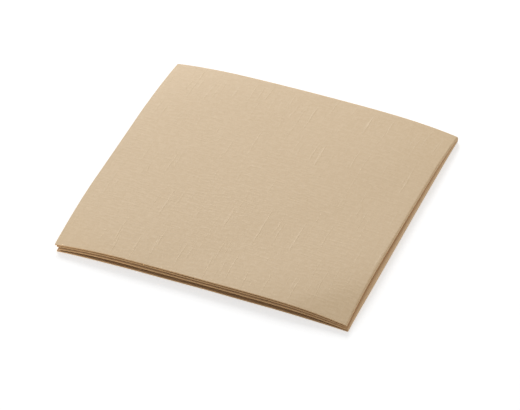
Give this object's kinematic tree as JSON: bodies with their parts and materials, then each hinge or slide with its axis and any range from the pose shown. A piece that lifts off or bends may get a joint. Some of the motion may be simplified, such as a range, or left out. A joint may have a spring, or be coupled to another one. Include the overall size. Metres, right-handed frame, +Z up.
{
  "type": "paper napkin",
  "caption": "Square quarter-folded paper napkin lying flat: one soft beige sheet with a linen-look emboss, rolled creases at the back and right, loose cut edges at the front and left.",
  "frame": {"origin": "under the middle of the folded square, on the table", "axes": "+Z up from the table; the first crease faces +X and the second crease +Y, the loose cut edges face -X and -Y"},
  "size_m": [0.2028, 0.204, 0.0077],
  "materials": {
    "paper": "matte beige paper with a linen-look emboss"
  },
  "bodies": {
    "root": {"napkin": "paper"}
  },
  "joints": []
}
